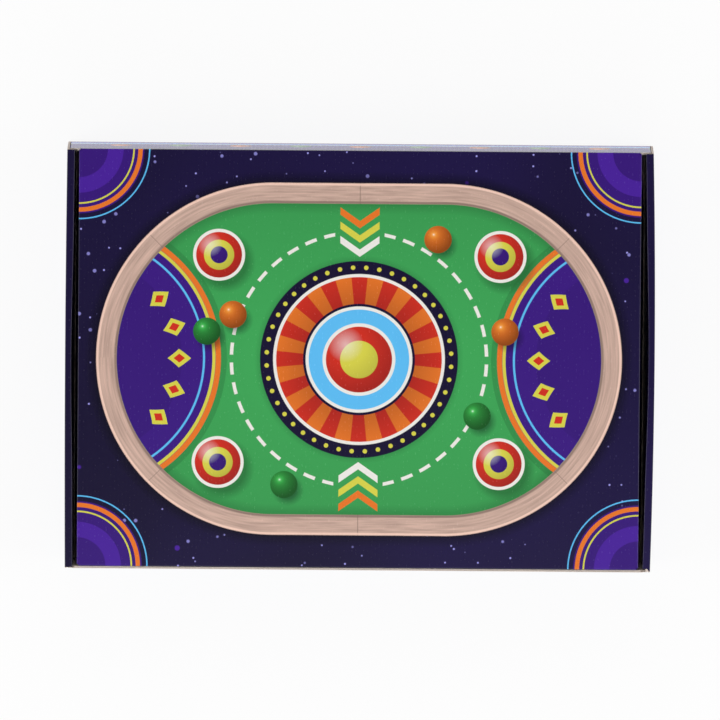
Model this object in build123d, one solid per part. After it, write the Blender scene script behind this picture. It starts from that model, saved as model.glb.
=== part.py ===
"""Tabletop pinball game in its printed carton, modelled panel by panel and piece by piece.

Millimetres. The carton lies flat with its lid up: +Z is up, +Y points at the lid's hinge and +X
to the right of a player who reads the lid. The origin is the middle of the carton's underside.
The game lies inside with its two players' ends at -X and +X.
"""

import os
from math import atan, cos, radians, sin, tan

from build123d import *

# Carton, folded from one sheet of corrugated board
box_width = 450.0
box_depth = 324.0
board = 1.6
fold_radius = 1.2
roll_gap = 2.6
roll_end_gap = 0.8
inner_layer_gap = 1.2
front_wall_drop = 0.5
corner_flap_length = 62.0
corner_flap_taper = 10.0
corner_flap_head_gap = 1.0
lock_tab_length = 34.0
lock_tab_spread = 184.0
lock_slot_clearance = 0.3
lock_tab_depth_share = 0.85

# Lid with its two wings and its front tuck flap
lid_side_gap = 3.4
lid_front_gap = 0.4
lid_corner_relief = 1.2
wing_end_gap = 16.0
wing_taper = 24.0
wing_corner_radius = 14.0
tuck_side_gap = 9.0
tuck_taper = 12.0
tuck_corner_radius = 16.0
tuck_lean = 5.0
flap_floor_gap = 5.0

# Room left round the game inside the carton
wing_room = 13.0
front_room = 15.0
rear_room = 3.0
head_room = 15.8

# Wooden frame and playfield
playfield_thickness = 5.0
rail_thickness = 12.0
rail_height = 36.0
wood_edge_radius = 1.0
divider_thickness = 10.0
arch_width = 34.0
arch_height = 27.0

# Lanes and the covers over the flippers
lane_width = 64.0
cover_lane_depth = 50.0
cover_rail_depth = 108.0
cover_wall = 4.0
cover_roof = 3.0
cover_edge_radius = 0.8
lane_panel_thickness = 0.4
lane_panel_gap = 2.0
lane_panel_length = 92.0

# Flippers, which turn on pins under the covers
flipper_width = 10.0
flipper_height = 8.0
flipper_edge_radius = 0.8
flipper_tip_gap = 3.0
handle_length = 28.0
handle_corner_radius = 2.0
pivot_from_end = 44.0
pivot_from_rail = 18.0
rest_angle = 20.0
swing_angle = 12.0
slot_clearance = 1.2
pin_radius = 2.5
pin_running_clearance = 0.05
pin_head_radius = 5.0
pin_head_height = 2.5
pin_dome_share = 0.8
pin_head_gap = 0.2
pin_foot_cover = 1.0
washer_radius = 6.5
washer_thickness = 1.0

# Countersunk screws up through the playfield into the rails
screw_radius = 1.75
screw_head_radius = 3.5
screw_head_depth = 2.0
screw_length = 22.0
screw_clearance = 0.05
screw_end_inset = 20.0
divider_screw_inset = 38.0

# Loose balls, in two colours
ball_radius = 8.0
ball_lift = 0.2
ball_rest_gap = 7.0
inner_ball_share = 0.33
outer_ball_share = 0.73

# Cuts run past the faces that they open
overrun = 1.0

# How a primitive sits on its place: standing on it, hung from it, or growing from a flipper's tip
standing = (Align.CENTER, Align.CENTER, Align.MIN)
hung = (Align.CENTER, Align.CENTER, Align.MAX)
from_tip = (Align.CENTER, Align.MIN)

# Carton, worked out
half_width = box_width / 2
half_depth = box_depth / 2
side_stack = 2 * board + roll_gap
playfield_top = board + playfield_thickness
game_top = playfield_top + rail_height
lid_underside = game_top + head_room
box_height = lid_underside + board
lid_half_width = half_width - side_stack - lid_side_gap
lid_front = -half_depth + board + lid_front_gap

# Game, worked out from the room in the carton
game_half_length = lid_half_width - board - wing_room
game_span = box_depth - 2 * board - front_room - rear_room
game_centre = (front_room - rear_room) / 2
game_half_width = game_span / 2 - handle_length
play_half_length = game_half_length - rail_thickness
play_half_width = game_half_width - rail_thickness
lane_half_width = lane_width / 2

# Flippers, worked out: a flipper leans back at rest and is nearly square to its lane when swung
swung_angle = rest_angle - swing_angle
flipper_bottom = playfield_top + washer_thickness
flipper_top = flipper_bottom + flipper_height
pivot_x = play_half_length - pivot_from_end
pivot_off_centre = play_half_width - pivot_from_rail
inner_arm = (pivot_off_centre - flipper_tip_gap) / cos(radians(swung_angle))
outer_arm = (game_span / 2 - pivot_off_centre) / cos(radians(swung_angle))
slot_top = flipper_top + slot_clearance
flap_height = lid_underside - flipper_top - flap_floor_gap


def block(low, high):
    """A box from its lowest to its highest corner."""
    size = [b - a for a, b in zip(low, high)]
    return Pos(*low) * Box(*size, align=(Align.MIN, Align.MIN, Align.MIN))


def sheet_in_yz(points, x_low):
    """A piece of board standing in the YZ plane, from x_low to one board thickness more."""
    outline = Plane.YZ.offset(x_low) * make_face(Polyline(*points, close=True))
    return extrude(outline, board)


def edges_at(solid, axis, **place):
    """The edges along an axis whose middles lie at the given coordinates."""
    found = solid.edges().filter_by(axis)
    for name, value in place.items():
        found = found.filter_by(lambda e, n=name, v=value: abs(getattr(e.center(), n) - v) < board / 10)
    return found


def both_sides(solid):
    """The left and right copies of a piece that is drawn on the +X side."""
    return {"left": mirror(solid, about=Plane.YZ), "right": solid}


def game_corners(solid):
    """Four copies of a piece that is drawn in the +X, +Y corner of a game centred on the origin."""
    place = Pos(0, game_centre, 0)
    copies = {}
    for row, rear in (("front", mirror(solid, about=Plane.XZ)), ("rear", solid)):
        for side, copy in both_sides(rear).items():
            copies[f"{row}_{side}"] = place * copy
    return copies


def lock_tabs(inset, bottom):
    """The two feet of a rolled side wall, or with a negative inset the slots that take them."""
    inner = half_width - side_stack
    feet = Part()
    for middle in (-lock_tab_spread / 2, lock_tab_spread / 2):
        half = lock_tab_length / 2 - inset
        low = (inner + inset, middle - half, bottom)
        feet += block(low, (inner + board - inset, middle + half, board))
    return feet


def base_panel():
    """The carton's floor, with its edges rounded where the walls fold up and slots for the feet."""
    floor = block((-half_width, -half_depth, 0), (half_width, half_depth, board))
    floor = fillet(floor.edges().group_by(Axis.Z)[0], fold_radius)
    slots = lock_tabs(-lock_slot_clearance, -overrun)
    return floor - slots - mirror(slots, about=Plane.YZ)


def end_wall(outer_face, inner_face, top):
    """A wall of one layer between the side walls, its corners rounded where the flaps fold in.

    Its ends are cut down to the height of the flaps, because the side walls roll over them.
    """
    half = half_width - board
    low, high = sorted((outer_face, inner_face))
    wall = block((-half, low, board), (half, high, top))
    corners = wall.edges().filter_by(Axis.Z).filter_by(lambda e: abs(e.center().Y - outer_face) < board / 10)
    wall = fillet(corners, fold_radius)
    notch_low = (half_width - side_stack - roll_end_gap, low - overrun, lid_underside - corner_flap_head_gap)
    notch = block(notch_low, (half + overrun, high + overrun, box_height + overrun))
    return wall - notch - mirror(notch, about=Plane.YZ)


def corner_flap(toward_rear):
    """The flap at the end of a front or rear wall, trapped between the two layers of a side wall."""
    top = lid_underside - corner_flap_head_gap
    start = half_depth - board
    end = start - corner_flap_length
    points = [
        (start, board),
        (end, board + corner_flap_taper),
        (end, top - corner_flap_taper),
        (start, top),
    ]
    flap = sheet_in_yz(points, half_width - board - (roll_gap + board) / 2)
    return flap if toward_rear else mirror(flap, about=Plane.XZ)


def side_wall():
    """The right side wall: an outer layer rolled over at the top and down again inside."""
    inner = half_width - side_stack
    roll_half = half_depth - roll_end_gap
    inner_half = half_depth - board - inner_layer_gap
    outer_layer = block((half_width - board, -half_depth, board), (half_width, half_depth, box_height))
    roll = block((inner, -roll_half, lid_underside), (half_width, roll_half, box_height))
    inner_layer = block((inner, -inner_half, board), (inner + board, inner_half, box_height))
    wall = outer_layer + roll + inner_layer
    for x in (half_width, inner):
        wall = fillet(edges_at(wall, Axis.Y, X=x, Z=box_height), fold_radius)
    return wall + lock_tabs(0, board * (1 - lock_tab_depth_share))


def lid_panel():
    """The lid, cut back at its front corners and rounded at its four folds."""
    relief = lid_corner_relief
    half = lid_half_width
    points = [
        (-half, half_depth),
        (-half, lid_front + relief),
        (-half + relief, lid_front),
        (half - relief, lid_front),
        (half, lid_front + relief),
        (half, half_depth),
    ]
    lid = extrude(Pos(0, 0, lid_underside) * make_face(Polyline(*points, close=True)), board)
    return fillet(lid.edges().group_by(Axis.Z)[-1], fold_radius)


def lid_wing():
    """The right wing, which hangs from the lid's side fold inside the rolled wall."""
    low, high = lid_front + wing_end_gap, half_depth - wing_end_gap
    bottom = lid_underside - flap_height
    points = [
        (low, lid_underside),
        (low + wing_taper, bottom),
        (high - wing_taper, bottom),
        (high, lid_underside),
    ]
    wing = sheet_in_yz(points, lid_half_width - board)
    return fillet(edges_at(wing, Axis.X, Z=bottom), wing_corner_radius)


def tuck_flap():
    """The front flap, which leans inwards so that it clears the front wall as the lid lifts."""
    half = lid_half_width - tuck_side_gap
    bottom = lid_underside - flap_height
    points = [
        (-half, lid_underside),
        (-half + tuck_taper, bottom),
        (half - tuck_taper, bottom),
        (half, lid_underside),
    ]
    outline = Plane.XZ * make_face(Polyline(*points, close=True))
    flap = Pos(0, lid_front, 0) * extrude(outline, -board)
    flap = fillet(edges_at(flap, Axis.Y, Z=bottom), tuck_corner_radius)
    return flap.rotate(Axis((0, lid_front + board, lid_underside), (1, 0, 0)), tuck_lean)


def screw_places():
    """Where the screws stand, in the +X, +Y corner of the game."""
    middle_of_side_rail = game_half_width - rail_thickness / 2
    middle_of_end_rail = game_half_length - rail_thickness / 2
    return {
        "side_rail": [
            (game_half_length - screw_end_inset, middle_of_side_rail),
            (screw_end_inset, middle_of_side_rail),
        ],
        "end_rail": [(middle_of_end_rail, lane_half_width)],
        "divider": [(0, play_half_width - divider_screw_inset)],
    }


def four_ways(places):
    """A list of places mirrored about both middle lines of the game, with none repeated."""
    return sorted({(sx * x, sy * y) for x, y in places for sx in (-1, 1) for sy in (-1, 1)})


def pilot_holes(name):
    """The holes that a rail's screws stand in, for all four corners of the game."""
    holes = Part()
    top = board + screw_length
    depth = top - playfield_top + overrun
    for x, y in four_ways(screw_places()[name]):
        holes += Pos(x, y, top) * Cylinder(screw_radius, depth, align=hung)
    return holes


def rail_screws():
    """All the screws, heads flush with the playfield's underside."""
    places = [p for group in screw_places().values() for p in four_ways(group)]
    shank_radius = screw_radius - screw_clearance
    bottom = board + screw_clearance
    profile = make_face(
        Polyline(
            (0, bottom),
            (screw_head_radius - screw_clearance, bottom),
            (shank_radius, bottom + screw_head_depth),
            (shank_radius, board + screw_length - screw_clearance - shank_radius),
            (0, board + screw_length - screw_clearance),
            close=True,
        )
    )
    screw = revolve(Plane.XZ * profile, Axis.Z)
    return Compound([Pos(x, y + game_centre, 0) * screw for x, y in places])


def playfield():
    """The board under everything, drilled for the pivot pins and countersunk for the screws."""
    low = (-game_half_length, -game_half_width, board)
    field = block(low, (game_half_length, game_half_width, playfield_top))
    for group in screw_places().values():
        for x, y in four_ways(group):
            sink = Cone(screw_head_radius, screw_radius, screw_head_depth, align=standing)
            field -= Pos(x, y, board) * (sink + Cylinder(screw_radius, playfield_thickness, align=standing))
    for x, y in four_ways([(pivot_x, pivot_off_centre)]):
        hole = Cylinder(pin_radius + pin_running_clearance, playfield_thickness, align=standing)
        field -= Pos(x, y, board + pin_foot_cover) * hole
    return Pos(0, game_centre, 0) * field


def flipper_slot(near, far):
    """The opening that a flipper sweeps in a wall whose faces lie near and far from the centre line."""
    half = flipper_width / 2
    edges = []
    for angle in (radians(rest_angle), radians(swung_angle)):
        for face in (near, far):
            middle = pivot_x - (face - pivot_off_centre) * tan(angle)
            edges += [middle - half / cos(angle), middle + half / cos(angle)]
    low = (min(edges) - slot_clearance, near - overrun, playfield_top - overrun)
    return block(low, (max(edges) + slot_clearance, far + overrun, slot_top))


def side_rail():
    """The rear side rail, notched underneath where the two flippers pass out to their handles."""
    low = (-game_half_length, play_half_width, playfield_top)
    rail = block(low, (game_half_length, game_half_width, game_top))
    rail = fillet(rail.edges().group_by(Axis.Z)[-1], wood_edge_radius)
    slot = flipper_slot(play_half_width, game_half_width)
    return rail - slot - mirror(slot, about=Plane.YZ) - pilot_holes("side_rail")


def end_rail():
    """The right end rail, between the side rails."""
    low = (play_half_length, -play_half_width, playfield_top)
    rail = block(low, (game_half_length, play_half_width, game_top))
    rail = fillet(rail.edges().filter_by(Axis.Y).group_by(Axis.Z)[-1], wood_edge_radius)
    return Pos(0, game_centre, 0) * (rail - pilot_holes("end_rail"))


def divider():
    """The wall across the middle, with the arch that the balls are shot through."""
    half = divider_thickness / 2
    wall = block((-half, -play_half_width, playfield_top), (half, play_half_width, game_top))
    wall = fillet(wall.edges().filter_by(Axis.Y).group_by(Axis.Z)[-1], wood_edge_radius)
    arch_radius = arch_width / 2
    spring_line = playfield_top + arch_height - arch_radius
    through = divider_thickness + 2 * overrun
    crown = Pos(0, 0, spring_line) * Cylinder(arch_radius, through, rotation=(0, 90, 0))
    low = (-half - overrun, -arch_radius, playfield_top - overrun)
    legs = block(low, (half + overrun, arch_radius, spring_line))
    return Pos(0, game_centre, 0) * (wall - crown - legs - pilot_holes("divider"))


def cover():
    """The cover in the +X, +Y corner: a roof, a slanting wall that turns balls into the lane and a
    lane wall, open underneath and against the rails."""
    end, side = play_half_length, play_half_width
    corner = (end - cover_lane_depth, lane_half_width)
    far_corner = (end - cover_rail_depth, side)
    outline = make_face(Polyline((end, lane_half_width), corner, far_corner, (end, side), close=True))
    shell = extrude(Pos(0, 0, playfield_top) * outline, rail_height)
    slant = [e for e in shell.edges().group_by(Axis.Z)[-1] if e.center().X < end - board]
    shell = fillet([e for e in slant if e.center().Y < side - board], cover_edge_radius)

    rise = (side - lane_half_width) / (cover_rail_depth - cover_lane_depth)
    wall_along_x = cover_wall / sin(atan(rise))
    inner_side = side + overrun
    inner_lane = lane_half_width + cover_wall

    def slant_x(y):
        return corner[0] + wall_along_x - (y - lane_half_width) / rise

    hollow = make_face(
        Polyline(
            (end + overrun, inner_lane),
            (slant_x(inner_lane), inner_lane),
            (slant_x(inner_side), inner_side),
            (end + overrun, inner_side),
            close=True,
        )
    )
    depth = rail_height - cover_roof
    shell -= extrude(Pos(0, 0, playfield_top) * hollow, depth)
    return shell - flipper_slot(lane_half_width, inner_lane)


def flipper():
    """The flipper in the +X, +Y corner at rest: round at its tip, square at its handle."""
    half = flipper_width / 2
    tip = Pos(0, half - inner_arm) * Circle(half)
    bar = Pos(0, half - inner_arm) * Rectangle(flipper_width, inner_arm + outer_arm - half, align=from_tip)
    outline = tip + fillet(bar.vertices().group_by(Axis.Y)[-1], handle_corner_radius)
    body = extrude(Pos(0, 0, flipper_bottom) * outline, flipper_height)
    rims = body.edges().group_by(Axis.Z)
    body = fillet(rims[0] + rims[-1], flipper_edge_radius)
    bore = Cylinder(pin_radius + pin_running_clearance, box_height)
    body -= Pos(0, 0, flipper_bottom) * bore
    return Pos(pivot_x, pivot_off_centre, 0) * Rot(0, 0, rest_angle) * body


def pivot_pin():
    """The pin in the +X, +Y corner: a plain shank set in the playfield and a domed head."""
    foot = board + pin_foot_cover
    head = flipper_top + pin_head_gap
    shank = Pos(0, 0, foot) * Cylinder(pin_radius, head - foot, align=standing)
    cap = Pos(0, 0, head) * Cylinder(pin_head_radius, pin_head_height, align=standing)
    cap = fillet(cap.edges().group_by(Axis.Z)[-1], pin_head_height * pin_dome_share)
    return Pos(pivot_x, pivot_off_centre, 0) * (shank + cap)


def pivot_washer():
    """The washer that keeps a flipper clear of the playfield."""
    ring = Cylinder(washer_radius, washer_thickness, align=standing)
    ring -= Cylinder(pin_radius + pin_running_clearance, washer_thickness, align=standing)
    return Pos(pivot_x, pivot_off_centre, playfield_top) * ring


def lane_panel():
    """The printed card glued in the right lane, with a round end towards the middle of the field."""
    half = lane_half_width - lane_panel_gap
    start = play_half_length - lane_panel_gap
    round_middle = start - lane_panel_length + half
    strip = Pos(round_middle, 0) * Rectangle(start - round_middle, 2 * half, align=(Align.MIN, Align.CENTER))
    outline = strip + Pos(round_middle, 0) * Circle(half)
    return Pos(0, game_centre, playfield_top) * extrude(outline, lane_panel_thickness)


def balls():
    """Four balls in each half of the field, lined up along the divider, the colours taking turns."""
    offset = divider_thickness / 2 + ball_rest_gap + ball_radius
    height = playfield_top + ball_radius + ball_lift
    shares = (-outer_ball_share, -inner_ball_share, inner_ball_share, outer_ball_share)
    rows = [play_half_width * share for share in shares]
    made = {}
    for side, x in (("left", -offset), ("right", offset)):
        for place, y in enumerate(rows):
            colour = "green" if (place + (side == "right")) % 2 else "orange"
            number = 1 + sum(name.startswith(f"{colour}_ball") for name in made)
            made[f"{colour}_ball_{number}"] = Pos(x, y + game_centre, height) * Sphere(ball_radius)
    return made


def pieces():
    """Every piece by the name of its node."""
    front_face, rear_face = -half_depth, half_depth
    made = {
        "base_panel": base_panel(),
        "front_wall": end_wall(front_face, front_face + board, box_height - front_wall_drop),
        "rear_wall": end_wall(rear_face, rear_face - board, lid_underside),
        "lid_panel": lid_panel(),
        "lid_tuck_flap": tuck_flap(),
        "playfield_board": playfield(),
        "divider_wall": divider(),
        "rail_screws": rail_screws(),
        "pivot_washers": Compound(list(game_corners(pivot_washer()).values())),
    }
    for side, solid in both_sides(side_wall()).items():
        made[f"{side}_side_wall"] = solid
    for side, solid in both_sides(lid_wing()).items():
        made[f"lid_{side}_wing"] = solid
    for row in ("front", "rear"):
        for side, solid in both_sides(corner_flap(row == "rear")).items():
            made[f"{row}_{side}_corner_flap"] = solid
    rail = side_rail()
    made["rear_side_rail"] = Pos(0, game_centre, 0) * rail
    made["front_side_rail"] = Pos(0, game_centre, 0) * mirror(rail, about=Plane.XZ)
    for side, solid in both_sides(end_rail()).items():
        made[f"{side}_end_rail"] = solid
    for side, solid in both_sides(lane_panel()).items():
        made[f"{side}_lane_panel"] = solid
    for name, master in (("cover", cover()), ("flipper", flipper()), ("pivot_pin", pivot_pin())):
        for corner, solid in game_corners(master).items():
            made[f"{corner}_{name}"] = solid
    made.update(balls())
    return made


os.makedirs("parts", exist_ok=True)
for node, solid in pieces().items():
    export_step(solid, f"parts/{node}.step")
print(f"carton {box_width:.1f} x {box_depth:.1f} x {box_height:.1f}")
print(f"game {2 * game_half_length:.1f} x {2 * game_half_width:.1f}, centre line at y {game_centre:.1f}")
print(f"lid hinge at y {half_depth:.2f} z {lid_underside:.2f}")
print(f"wing fold at x {lid_half_width - board:.2f}, tuck fold at y {lid_front + board:.2f}")
print(f"flipper pivots at x {pivot_x:.3f}, {pivot_off_centre:.3f} from the centre line")
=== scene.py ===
"""Looks of a boxed tabletop pinball game: a printed corrugated carton with the wooden game inside it.

Sizes are worked out in millimetres and turn to metres when a mesh is made. The lid's design is a plain one
of rings, rays and balls, which its material draws.
"""

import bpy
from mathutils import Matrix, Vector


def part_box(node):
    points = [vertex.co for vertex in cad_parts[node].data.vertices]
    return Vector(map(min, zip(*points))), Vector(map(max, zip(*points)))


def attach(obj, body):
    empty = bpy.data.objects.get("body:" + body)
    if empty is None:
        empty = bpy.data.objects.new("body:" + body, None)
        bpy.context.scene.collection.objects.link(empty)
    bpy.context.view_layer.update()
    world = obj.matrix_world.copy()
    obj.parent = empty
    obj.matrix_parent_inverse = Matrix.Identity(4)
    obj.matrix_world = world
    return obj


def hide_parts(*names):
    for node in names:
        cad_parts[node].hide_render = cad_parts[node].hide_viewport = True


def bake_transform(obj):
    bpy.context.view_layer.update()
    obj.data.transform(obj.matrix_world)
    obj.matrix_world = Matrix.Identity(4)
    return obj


bl_info = {
    "name": "Boxed pinball game",
    "version": (1, 0, 0),
    "blender": (4, 5, 0),
    "location": "View3D > Sidebar > Game",
    "description": "Builds the printed carton, the wooden game inside it and the studio round them",
    "category": "Add Mesh",
}

from functools import cache, partial, partialmethod
from math import cos, pi, radians, sin, tan
from types import SimpleNamespace

import bmesh
import bpy
import numpy as np
from bpy.props import FloatProperty, FloatVectorProperty, PointerProperty
from mathutils import Matrix, Vector

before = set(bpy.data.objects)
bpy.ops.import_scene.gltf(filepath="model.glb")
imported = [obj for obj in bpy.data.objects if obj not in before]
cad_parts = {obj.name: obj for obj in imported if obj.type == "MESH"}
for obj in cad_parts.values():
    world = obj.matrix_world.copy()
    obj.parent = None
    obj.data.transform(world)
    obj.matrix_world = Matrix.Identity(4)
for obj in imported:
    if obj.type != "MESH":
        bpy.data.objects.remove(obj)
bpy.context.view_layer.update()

MM = 0.001
SIDES = (("left", -1), ("right", 1))
ROWS = (("front", -1), ("rear", 1))

# Directions in which a path's two coordinates and the flutes of its board run
X, Y, Z = np.eye(3)
PATH_XZ, PATH_YZ, PATH_XY = np.array((X, Z, Y)), np.array((Y, Z, X)), np.array((X, Y, Z))


def linear(code):
    """An sRGB hex colour as linear red, green and blue."""
    channels = np.array([int(code[i : i + 2], 16) for i in (1, 3, 5)]) / 255
    return tuple(np.where(channels <= 0.04045, channels / 12.92, ((channels + 0.055) / 1.055) ** 2.4))


WHITE = linear("#ffffff")


def ink(name, tone=1.0):
    """One of the game's colours, made lighter or darker."""
    return tuple(min(1.0, tone * channel) for channel in getattr(bpy.context.scene.game_colours, name))


def span(node):
    """The lowest and highest corners of a solid, in millimetres."""
    low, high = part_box(node)
    return np.array(low) / MM, np.array(high) / MM


def in_mm(group):
    """The lengths in one of the scene's groups, in millimetres."""
    held = getattr(bpy.context.scene, group)
    return SimpleNamespace(**{name: getattr(held, name) / MM for name in held.__annotations__})


def length(name, value, about):
    """A length that a user can change, given in millimetres."""
    return FloatProperty(name=name, description=about, default=value * MM, min=0, precision=5, unit="LENGTH")


def tint(name, code, about):
    """A colour that a user can change."""
    default = linear(code)
    return FloatVectorProperty(name=name, description=about, default=default, min=0, max=1, subtype="COLOR")


class CartonSizes(bpy.types.PropertyGroup):
    """How the corrugated board is made up and how the carton has settled."""

    liner: length("Printed liner", 0.5, "Thickness of the outer paper with its print")
    backing: length("Inner liner", 0.42, "Thickness of the inner paper")
    medium: length("Medium", 0.36, "Thickness of the waved paper between the liners")
    flute: length("Flute pitch", 3.0, "Distance from one wave to the next")
    crease: length("Crease", 0.5, "Radius of the printed face where it goes round a fold")
    fold_gap: length("Fold gap", 0.15, "From the lid's underside to the boards that hang from its folds")
    bulge: length("Lid bulge", 0.6, "How far the lid's middle stands above its edges")
    left_bow: length("Left bow", 0.8, "How far the left wall leans out at the middle of its length")
    right_bow: length("Right bow", 2.2, "How far the right wall leans out at the middle of its length")
    pinch: length("Pinch", 1.1, "How much narrower a rolled wall is at the middle of its length")
    pinch_reach: length("Pinch reach", 100.0, "From a rolled wall's middle to where it has its full width")
    splay: length("Wing splay", 2.4, "How far the lid's wings spring out at their free edges")


class LidDesign(bpy.types.PropertyGroup):
    """The lid's printed design, measured from the lid's middle."""

    straight: length("Straight", 66.0, "Half the straight part of the oval field")
    radius: length("Radius", 136.0, "Radius of the oval field's round ends")
    band: length("Band", 16.0, "Width of the timber band round the field")
    zone_reach: length("Zone reach", 212.0, "From the middle to the centre of an end zone's circle")
    zone_radius: length("Zone radius", 106.0, "Radius of an end zone")
    diamond_arc: length("Diamond arc", 74.0, "Radius of the arc that the diamonds lie on")
    track: length("Track", 98.0, "Radius of the dashed track")
    roundel: length("Roundel", 76.0, "Radius of the rayed roundel")
    bumper_x: length("Bumper across", 108.0, "From the middle to a bumper, along the lid")
    bumper_y: length("Bumper up", 80.0, "From the middle to a bumper, across the lid")
    ball: length("Ball", 10.5, "Radius of a printed ball")
    corner: length("Corner", 50.0, "Radius of the quarter discs in the corners")


class GameColours(bpy.types.PropertyGroup):
    """Inks, papers, paints and woods."""

    navy: tint("Navy", "#171032", "Ground of the carton's print")
    violet: tint("Violet", "#1f1547", "Lighter part of the ground")
    lavender: tint("Lavender", "#8a86cf", "Dots on the ground")
    green: tint("Green", "#3ea256", "Field in the print and on the playfield")
    purple: tint("Purple", "#381878", "End zones in the print and the covers")
    red: tint("Red", "#cf3022", "Rays and lanes")
    orange: tint("Orange", "#e8772a", "Rays, rings and balls")
    yellow: tint("Yellow", "#d8d24c", "Diamonds and chevrons")
    blue: tint("Pale blue", "#5fbef5", "Rings and dots")
    white: tint("White", "#efece6", "Key lines")
    leaf: tint("Ball green", "#2f8f3e", "Green balls")
    timber: tint("Printed timber", "#d2b1a2", "Band round the printed field")
    board: tint("Board", "#ddd0c6", "Unprinted side and edges of the board")
    beech: tint("Beech", "#d9b78e", "Rails, divider and flippers")


class StageSizes(bpy.types.PropertyGroup):
    """Where the camera stands."""

    distance: length("Distance", 15000.0, "From the lid's middle to the camera")
    width_seen: length("Width seen", 553.0, "How much of the lid's plane the picture takes in")
    aim_x: length("Aim across", 0.8, "From the lid's middle to what the camera looks at, along the lid")
    aim_y: length("Aim up", 0.6, "From the lid's middle to what the camera looks at, across the lid")
    tilt: FloatProperty(name="Tilt", description="Lean to the hinge", default=radians(5.8), subtype="ANGLE")
    roll: FloatProperty(name="Roll", description="Turn of the view", default=radians(0.45), subtype="ANGLE")


# Meshes


def placed(name, data):
    """An object in the scene that holds a mesh, a lamp or a camera."""
    made = bpy.data.objects.new(name, data)
    bpy.context.scene.collection.objects.link(made)
    return made


def make_piece(name, points, faces, materials, kinds=None, run=None, sharp=35.0):
    """A mesh object from points in millimetres, its closed shells turned to face outwards.

    Its faces can have kinds of material, and its points the distance that they have run along a path.
    """
    mesh = bpy.data.meshes.new(name)
    mesh.from_pydata(np.asarray(points) * MM, [], faces)
    for material in materials:
        mesh.materials.append(material)
    if kinds is not None:
        mesh.polygons.foreach_set("material_index", np.asarray(kinds, np.int32))
    shells = bmesh.new()
    shells.from_mesh(mesh)
    bmesh.ops.recalc_face_normals(shells, faces=shells.faces)
    shells.to_mesh(mesh)
    shells.free()
    mesh.polygons.foreach_set("use_smooth", np.ones(len(mesh.polygons), bool))
    mesh.set_sharp_from_angle(angle=radians(sharp))
    if run is not None:
        mesh.attributes.new("run", "FLOAT", "POINT").data.foreach_set("value", np.asarray(run, np.float32))
    return placed(name, mesh)


def rounded_path(corners, radius, steps=8):
    """A path in a plane through corners, each inner one swapped for an arc.

    A point of an arc is its centre plus the arc's two ends, each weighted by the sine of the angle from the
    other end to the point, over the sine of the whole angle.
    """
    corners = np.asarray(corners, float)
    points = [corners[:1]]
    share = np.linspace(0, 1, steps + 1)[:, None]
    for before, at, after in zip(corners, corners[1:], corners[2:]):
        back = (before - at) / np.linalg.norm(before - at)
        on = (after - at) / np.linalg.norm(after - at)
        half_angle = np.arccos(np.clip(back @ on, -1, 1)) / 2
        centre = at + (back + on) / np.linalg.norm(back + on) * radius / sin(half_angle)
        start = at + back * radius / tan(half_angle) - centre
        end = at + on * radius / tan(half_angle) - centre
        swing = pi - 2 * half_angle
        weighted = np.sin((1 - share) * swing) * start + np.sin(share * swing) * end
        points.append(centre + weighted / sin(swing))
    points.append(corners[-1:])
    return np.concatenate(points)


def beside(corners, offset):
    """A path's corners moved to its left, each one to where its two moved sides cross."""
    corners = np.asarray(corners, float)
    sides = np.diff(corners, axis=0)
    sides /= np.linalg.norm(sides, axis=1, keepdims=True)
    normals = np.stack([-sides[:, 1], sides[:, 0]], axis=1)
    before, after = np.concatenate([normals[:1], normals]), np.concatenate([normals, normals[-1:]])
    return corners + offset * (before + after) / (1 + np.sum(before * after, axis=1, keepdims=True))


def stepped(path, step):
    """Distances along a path at even steps and at its own points, with its points and left normals there."""
    own = np.concatenate([[0], np.cumsum(np.linalg.norm(np.diff(path, axis=0), axis=1))])
    even = np.linspace(0, own[-1], max(2, int(own[-1] / step) + 1))
    at = np.unique(np.round(np.concatenate([even, own]), 5))
    points = np.stack([np.interp(at, own, path[:, axis]) for axis in (0, 1)], axis=1)
    slope = np.gradient(points, at, axis=0)
    slope /= np.linalg.norm(slope, axis=1, keepdims=True)
    return at, points, np.stack([-slope[:, 1], slope[:, 0]], axis=1)


def paper(points, normals, outer, inner, low, high, rows):
    """A closed layer of paper: a path moved along its normals by two offsets, and carried from low to high.

    Each ring of points goes up the outer face in even rows, over the edge and down the inner face.
    """
    height = low + (high - low) * np.linspace(0, 1, rows + 1)[:, None]
    faces = []
    for offset in (outer, inner):
        flat = np.broadcast_to(points + normals * offset[:, None], (rows + 1, *points.shape))
        faces.append(np.concatenate([flat, height[..., None]], axis=2))
    ring = np.concatenate([faces[0], faces[1][::-1]])
    number = np.arange(ring.shape[0] * ring.shape[1]).reshape(ring.shape[:2])
    after = np.roll(number, -1, axis=0)
    around = np.stack([number[:, :-1], number[:, 1:], after[:, 1:], after[:, :-1]], axis=2)
    quads = [around.reshape(-1, 4)]
    for end in (0, -1):
        up = number[: rows + 1, end]
        down = number[rows + 1 :, end][::-1]
        quads.append(np.stack([up[:-1], up[1:], down[1:], down[:-1]], axis=1))
    quads = np.concatenate(quads)
    shown = np.arange(len(quads)) < rows * around.shape[1]
    return ring.reshape(-1, 3), quads, shown


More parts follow.
